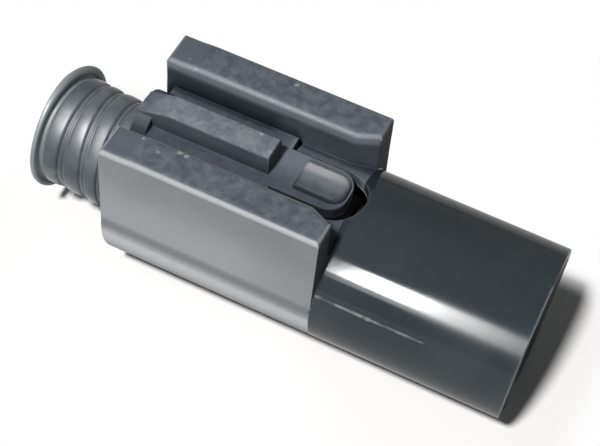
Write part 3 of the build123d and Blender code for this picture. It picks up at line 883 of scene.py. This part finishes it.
def corner_normals(bm):
    """Return a normal for every face corner, in the order in which the mesh stores them."""
    bm.normal_update()
    edge_band = bm.faces.layers.int[BAND_LAYER]
    turned = {face: is_turned(face) for face in bm.faces if not face[edge_band]}
    normals = []
    for face in bm.faces:
        for vert in (loop.vert for loop in face.loops):
            mains = [other for other in vert.link_faces if not other[edge_band]]
            if not face[edge_band]:
                normals.append(main_normal(vert, face, edge_band, turned))
            elif mains:
                closest = max(mains, key=lambda other: other.normal.dot(face.normal))
                normals.append(main_normal(vert, closest, edge_band, turned))
            else:
                normals.append(vert.normal.copy())
    return normals


def finish_piece(bm, name, body, materials, replaced=()):
    """Make the piece's object, shade it, put it on its body and hide the CAD parts it replaces."""
    normals = corner_normals(bm) if BAND_LAYER in bm.faces.layers.int else None
    mesh = bpy.data.meshes.new(name)
    bm.to_mesh(mesh)
    bm.free()
    mesh.shade_smooth()
    if normals:
        mesh.normals_split_custom_set(normals)
    piece = bpy.data.objects.new(name, mesh)
    bpy.context.scene.collection.objects.link(piece)
    for material in materials:
        mesh.materials.append(material)
    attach(piece, body)
    if replaced:
        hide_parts(*replaced)
    triangles = sum(len(polygon.vertices) - 2 for polygon in mesh.polygons)
    print(name, triangles, "triangles")
    return piece


# %% [markdown]
# The housing is one moulding. Its hood is polished and the rest is satin, so the faces in front
# of the guard walls get the second material. The guard walls' rear ends come from another
# insert of the mould, a tenth of a millimetre lower, so their tops slope down a little there.
# The ends of the guard walls are rounder than the other edges. Cutting planes give the mesh the
# edges that it needs there.

# %% Housing
HOOD_REAR = -18.0 * MM
WALL_REAR = -38.4 * MM
SLOPE_START = -35.2 * MM
SLOPE_END = -36.6 * MM
SLOPE_DROP = 0.12 * MM
ABOVE_LEVER = 10.1 * MM
WALL_END_WIDTH, EDGE_WIDTH = 0.2 * MM, 0.08 * MM
ON_PLANE = 0.01 * MM

bm = merged_copy("housing")
for cut_x in (HOOD_REAR, SLOPE_START, SLOPE_END):
    bmesh.ops.bisect_plane(
        bm,
        geom=bm.verts[:] + bm.edges[:] + bm.faces[:],
        dist=ON_PLANE / 10,
        plane_co=(cut_x, 0, 0),
        plane_no=(1, 0, 0),
    )
lowered = [v for v in bm.verts if v.co.x < SLOPE_END + ON_PLANE and v.co.z > ABOVE_LEVER]
bmesh.ops.translate(bm, verts=lowered, vec=(0, 0, -SLOPE_DROP))


def is_wall_end(edge):
    """Tell whether an edge is one of the guard walls' upright corners."""
    low, high = sorted(vert.co.z for vert in edge.verts)
    ends = (HOOD_REAR, WALL_REAR)
    at_end = any(all(abs(v.co.x - x) < ON_PLANE for v in edge.verts) for x in ends)
    outer = all(abs(v.co.y) > 4 * MM for v in edge.verts)
    return at_end and outer and low > 2 * MM and high - low > 0.5 * MM


print("Housing:", soften_edges(bm, WALL_END_WIDTH, is_wall_end), "wall ends rounded")
print("Housing:", soften_edges(bm, EDGE_WIDTH), "edges softened")
for face in bm.faces:
    face.material_index = 1 if face.calc_center_median().x > HOOD_REAR + ON_PLANE else 0
finish_piece(
    bm, "housing_shell", "housing_body", (satin, gloss), replaced=("housing",)
)

# %% [markdown]
# Where the halves of the mould meet on the hood's sides, the plastic stands a little proud: a
# fine raised line with a blob or two, from the guard walls to half way along the hood. Each is a
# thin rod, sunk into the skin: a small disc is extruded along the hood in steps, and each step
# is swelled or thinned. A step is its length in millimetres and its size.

# %% Parting lines
LINE_RADIUS = 0.16 * MM
LINE_AXIS_RADIUS = 7.93 * MM
LINE_ANGLE = math.radians(22.7)
LINE_START = -17.95 * MM
START_SIZE = 0.6
LINE_SIDES = 12
LINE_STEPS = (
    (0.15, 1.0), (0.35, 1.45), (0.4, 0.8), (1.4, 0.9), (2.4, 1.1), (0.3, 1.4),
    (0.3, 0.85), (1.6, 0.8), (1.5, 0.95), (1.2, 0.6), (0.5, 0.25),
)
bm = bmesh.new()
for side in (1, -1):
    disc = bmesh.ops.create_circle(
        bm, cap_ends=True, segments=LINE_SIDES, radius=LINE_RADIUS * START_SIZE
    )
    angle = LINE_ANGLE if side > 0 else math.pi - LINE_ANGLE
    outward = Vector((0, math.cos(angle), math.sin(angle)))
    middle = Vector((LINE_START, 0, 0)) + outward * LINE_AXIS_RADIUS
    turn = Matrix.Rotation(math.pi / 2, 4, "Y")
    bmesh.ops.transform(bm, matrix=Matrix.Translation(middle) @ turn, verts=disc["verts"])
    face = disc["verts"][0].link_faces[0]
    size = START_SIZE
    for step, swell in LINE_STEPS:
        made = bmesh.ops.extrude_face_region(bm, geom=[face])
        ring = [item for item in made["geom"] if isinstance(item, bmesh.types.BMVert)]
        bmesh.ops.delete(bm, geom=[face], context="FACES_ONLY")
        face = next(item for item in made["geom"] if isinstance(item, bmesh.types.BMFace))
        middle = middle + Vector((step * MM, 0, 0))
        bmesh.ops.translate(bm, verts=ring, vec=(step * MM, 0, 0))
        scale = swell / size
        bmesh.ops.scale(bm, verts=ring, vec=(1, scale, scale), space=Matrix.Translation(-middle))
        size = swell
bmesh.ops.holes_fill(bm, edges=bm.edges, sides=0)
bmesh.ops.recalc_face_normals(bm, faces=bm.faces)
print("Parting lines:", sum(1 for edge in bm.edges if len(edge.link_faces) != 2), "open edges")
finish_piece(bm, "parting_lines", "housing_body", (burr,))

# %% [markdown]
# The latch lever is one piece of the same satin plastic: the tail that is pressed, the grip rib,
# and the head with its hook below. It rides on its own body, so that it rocks.

# %% Latch lever
bm = merged_copy("latch_lever")
print("Lever:", soften_edges(bm, EDGE_WIDTH), "edges softened")
finish_piece(
    bm, "latch_lever_arm", "latch", (satin,), replaced=("latch_lever",)
)

# %% [markdown]
# The wire seal is a turned shape: a thin flange at the rear, rounded ribs, and between them a
# groove with a small bead along its middle. It is drawn as half an outline and spun round.
# Rubber never sits quite straight, so later its free end is pushed over and its flange tilted.

# %% Wire seal: ribs
FRONT = -31.55 * MM
GROOVE_X = -46.7 * MM
RIB_COUNT = 7
PITCH = 1.95 * MM
CORE, CREST, CREST_IN_BORE = 4.93 * MM, 5.25 * MM, 5.15 * MM
GROOVE_WIDTH = 0.56 * MM
BEAD_HALF = 0.13 * MM
BEAD_RISE = 0.11 * MM
WIRE_RADIUS = 1.5 * MM
SHOULDER_WIDTH, SHOULDER_DROP = 0.17 * MM, 0.05 * MM
FLANK_WIDTH, FLANK_RISE = 0.04 * MM, 0.15 * MM


def arc_points(start, middle, end, count):
    """Return points on the circle through three points, from start on, without end."""
    (ax, ay), (bx, by), (cx, cy) = start, middle, end
    a, b, c = ax**2 + ay**2, bx**2 + by**2, cx**2 + cy**2
    double_area = 2 * (ax * (by - cy) + bx * (cy - ay) + cx * (ay - by))
    ux = (a * (by - cy) + b * (cy - ay) + c * (ay - by)) / double_area
    uy = (a * (cx - bx) + b * (ax - cx) + c * (bx - ax)) / double_area
    radius = math.hypot(ax - ux, ay - uy)
    first, via, last = (math.atan2(y - uy, x - ux) for x, y in (start, middle, end))
    turn = (last - first) % (2 * math.pi)
    if (via - first) % (2 * math.pi) > turn:
        turn -= 2 * math.pi
    angles = [first + turn * i / count for i in range(count)]
    return [(ux + radius * math.cos(angle), uy + radius * math.sin(angle)) for angle in angles]


def rib_points(middle, crest):
    """Return a rib's outline from front to rear: steep flanks, round shoulders, a flat crown."""
    half = (PITCH - GROOVE_WIDTH) / 2
    shoulder = half - SHOULDER_WIDTH
    flank = half - FLANK_WIDTH
    front, rear = (middle + half, CORE), (middle - half, CORE)
    front_shoulder = (middle + shoulder, crest - SHOULDER_DROP)
    rear_shoulder = (middle - shoulder, crest - SHOULDER_DROP)
    return [
        *arc_points(front, (middle + flank, CORE + FLANK_RISE), front_shoulder, 5),
        *arc_points(front_shoulder, (middle, crest), rear_shoulder, 10),
        *arc_points(rear_shoulder, (middle - flank, CORE + FLANK_RISE), rear, 5),
        rear,
    ]


outline = [
    (GROOVE_X + 1.0 * MM, WIRE_RADIUS),
    (FRONT - 0.15 * MM, WIRE_RADIUS),
    (FRONT, WIRE_RADIUS + 0.15 * MM),
    (FRONT, CORE - 0.5 * MM),
    (FRONT - 0.5 * MM, CORE),
]
for index in reversed(range(RIB_COUNT)):
    middle = GROOVE_X + 0.16 * MM + (index + 0.5) * PITCH
    outline += rib_points(middle, CREST_IN_BORE if middle > WALL_REAR else CREST)
    if index:
        valley = middle - PITCH / 2
        bead_end = (valley - BEAD_HALF, CORE)
        outline += arc_points((valley + BEAD_HALF, CORE), (valley, CORE + BEAD_RISE), bead_end, 6)
        outline.append(bead_end)
print("Seal's outline so far:", len(outline), "points")

# %% [markdown]
# The flange is a thin disc whose rim is rolled round. The outline goes on over its lip and back
# into the funnel that guides the wire in, and is spun once round the axis.

# %% Wire seal: flange and spin
FLANGE_X, FLANGE_RADIUS, LIP = -46.93 * MM, 6.0 * MM, 0.36 * MM
SPIN_STEPS = 112
lip_centre = FLANGE_RADIUS - LIP
lip_front = (FLANGE_X + 0.75 * LIP, lip_centre - 0.66 * LIP)
lip_crown = (FLANGE_X + 0.3 * LIP, lip_centre + 0.95 * LIP)
lip_rear = (FLANGE_X - LIP, lip_centre)
root = (GROOVE_X + 0.3 * MM, CORE)
outline += arc_points(root, (GROOVE_X + 0.1 * MM, CORE + 0.06 * MM), lip_front, 5)
outline += arc_points(lip_front, lip_crown, lip_rear, 16)
outline += [
    lip_rear,
    (GROOVE_X - 0.25 * MM, 2.9 * MM),
    (GROOVE_X - 0.1 * MM, 2.6 * MM),
]

bm = bmesh.new()
corners = [bm.verts.new((x, 0, r)) for x, r in outline]
edges = [bm.edges.new((corners[i], corners[i - 1])) for i in range(len(corners))]
bmesh.ops.spin(
    bm,
    geom=corners + edges,
    cent=(0, 0, 0),
    axis=(1, 0, 0),
    angle=2 * math.pi,
    steps=SPIN_STEPS,
    use_merge=True,
)
bmesh.ops.remove_doubles(bm, verts=bm.verts, dist=0.001 * MM)
bmesh.ops.recalc_face_normals(bm, faces=bm.faces)
print("Seal spun:", len(bm.faces), "faces")

# %% [markdown]
# The seal's free end leans. Each row of the table holds a place along X in millimetres, the tilt
# in Y, the tilt in Z and the sideways shift in millimetres, from the housing to the flange. A
# table is easier to set than a bend modifier, and no point goes further back than the CAD does.
# Light linking then takes the seal out of the window's light and into its own lamp's.

# %% Wire seal: lean
SEAL_REAR = -47.33 * MM
LEAN = (
    (-38.4, 0.0, 0.0, 0.0),
    (-42.85, -0.07, -0.03, 0.27),
    (-44.72, 0.026, 0.01, 0.45),
    (-46.6, 0.058, -0.03, 0.45),
    (-46.9, 0.09, -0.035, 0.7),
)


def lean_at(x):
    """Return the two tilts and the sideways shift at one place along the seal."""
    if x >= LEAN[0][0]:
        return LEAN[0][1:]
    for near, far in zip(LEAN, LEAN[1:]):
        if x >= far[0]:
            share = (near[0] - x) / (near[0] - far[0])
            return tuple(a + (b - a) * share for a, b in zip(near[1:], far[1:]))
    return LEAN[-1][1:]


for vert in bm.verts:
    tilt_y, tilt_z, shift = lean_at(vert.co.x / MM)
    vert.co.x = max(vert.co.x + tilt_y * vert.co.y + tilt_z * vert.co.z, SEAL_REAR)
    vert.co.y += shift * MM
print("Seal from", round(min(v.co.x for v in bm.verts) / MM, 2), "mm")
seal = finish_piece(
    bm, "wire_seal_grommet", "housing_body", (rubber,), replaced=("wire_seal",)
)
kept_from_window.objects.link(seal)
kept_from_window.collection_objects[-1].light_linking.link_state = "EXCLUDE"
gleams_on.objects.link(seal)

# %% [markdown]
# The pieces inside the hood are softened in the same way, with smaller bevels for thin metal.

# %% Inner pieces
for node, name, body, slot, material, width in (
    ("ring_seal", "ring_seal_band", "housing_body", "seal_rubber", rubber, 0.06),
    ("front_retainer", "front_retainer_cap", "retainer", "retainer_plastic", moulded, 0.05),
    ("contact", "contact_socket", "housing_body", "contact_brass", brass, 0.03),
    ("contact_sleeve", "contact_sleeve_band", "housing_body", "sleeve_steel", steel, 0.03),
):
    bm = merged_copy(node)
    print(node, soften_edges(bm, width * MM), "edges softened")
    finish_piece(bm, name, body, (material,), replaced=(node,))
